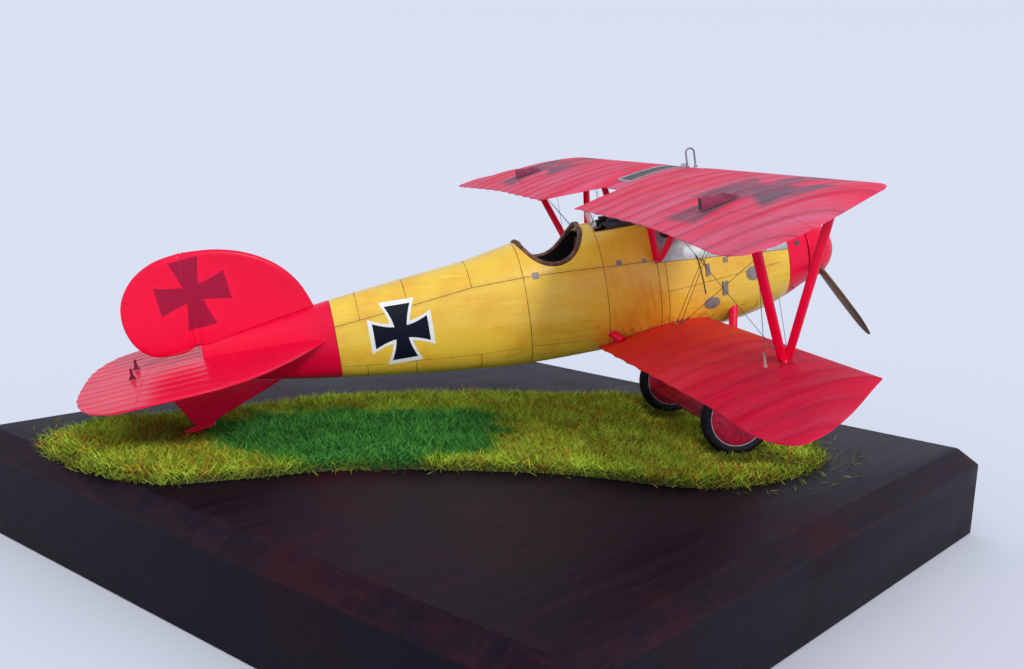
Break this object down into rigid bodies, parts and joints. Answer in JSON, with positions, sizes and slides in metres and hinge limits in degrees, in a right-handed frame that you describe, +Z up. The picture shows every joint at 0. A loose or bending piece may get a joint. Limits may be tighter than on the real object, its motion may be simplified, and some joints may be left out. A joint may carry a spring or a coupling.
{
  "type": "display model biplane",
  "caption": "Scale display model of a V-strutted fighter biplane with a moulded plywood body, standing on grass groundwork on a square wooden plinth; propeller and wheels turn.",
  "frame": {"origin": "centre of the plinth's underside", "axes": "+Z up, -Y towards the aircraft's nose, +X towards its left wing tip"},
  "size_m": [0.211, 0.211, 0.0812],
  "materials": {
    "stained_wood": "dark stained and waxed",
    "grass": "static grass fibres",
    "varnished_ply": "painted as varnished plywood, semi-gloss",
    "red_paint": "semi-gloss enamel",
    "wing_red": "satin enamel with rib shading",
    "dark_red": "satin",
    "laminated_wood": "painted laminations, varnished",
    "grey_metal": "painted as grey metal panels",
    "gun_metal": "painted as blued steel",
    "burnt_steel": "painted as rusted steel",
    "leather": "painted as padded leather",
    "floor_wood": "painted as bare wood",
    "panel_black": "satin",
    "clear_sheet": "clear",
    "radiator_grey": "painted as a radiator grille",
    "pipe_metal": "bare wire",
    "tyre_rubber": "painted as rubber",
    "disc_red": "satin with spoke marks"
  },
  "bodies": {
    "airframe": {"plinth": "stained_wood", "grass_mat": "grass", "fuselage": "varnished_ply", "nose_band": "red_paint", "upper_cowl": "grey_metal", "engine": "gun_metal", "exhaust": "burnt_steel", "gun_left": "gun_metal", "gun_right": "gun_metal", "cockpit_coaming": "leather", "seat": "leather", "cockpit_floor": "floor_wood", "instrument_panel": "panel_black", "control_column": "gun_metal", "windscreen": "clear_sheet", "tail_cone": "red_paint", "upper_wing": "wing_red", "aileron_left": "wing_red", "aileron_right": "wing_red", "aileron_crank_left": "dark_red", "aileron_crank_right": "dark_red", "radiator_panel": "radiator_grey", "wing_pipe": "pipe_metal", "lower_wing_left": "wing_red", "lower_wing_right": "wing_red", "wing_stub_left": "red_paint", "wing_stub_right": "red_paint", "v_strut_left": "red_paint", "v_strut_right": "red_paint", "cabane_strut_left": "red_paint", "cabane_strut_right": "red_paint", "gear_leg_left": "red_paint", "gear_leg_right": "red_paint", "axle_fairing": "red_paint", "fin": "red_paint", "rudder": "red_paint", "tailplane": "wing_red", "elevator": "wing_red", "elevator_horn_left": "dark_red", "elevator_horn_right": "dark_red", "ventral_fin": "red_paint", "tail_skid": "red_paint"},
    "propeller": {"spinner": "red_paint", "propeller_blade_a": "laminated_wood", "propeller_blade_b": "laminated_wood"},
    "wheel_left": {"tyre_left": "tyre_rubber", "wheel_disc_left": "disc_red"},
    "wheel_right": {"tyre_right": "tyre_rubber", "wheel_disc_right": "disc_red"}
  },
  "joints": [
    {"name": "propeller_spin", "type": "hinge", "parent": "airframe", "child": "propeller", "pos_m": [0.00115, -0.06821, 0.06056], "axis": [0, 0.9811, -0.1937], "continuous": true},
    {"name": "wheel_left_spin", "type": "hinge", "parent": "airframe", "child": "wheel_left", "pos_m": [0.01939, -0.04686, 0.02754], "axis": [1, 0, 0], "continuous": true},
    {"name": "wheel_right_spin", "type": "hinge", "parent": "airframe", "child": "wheel_right", "pos_m": [-0.01709, -0.04686, 0.02754], "axis": [1, 0, 0], "continuous": true}
  ]
}
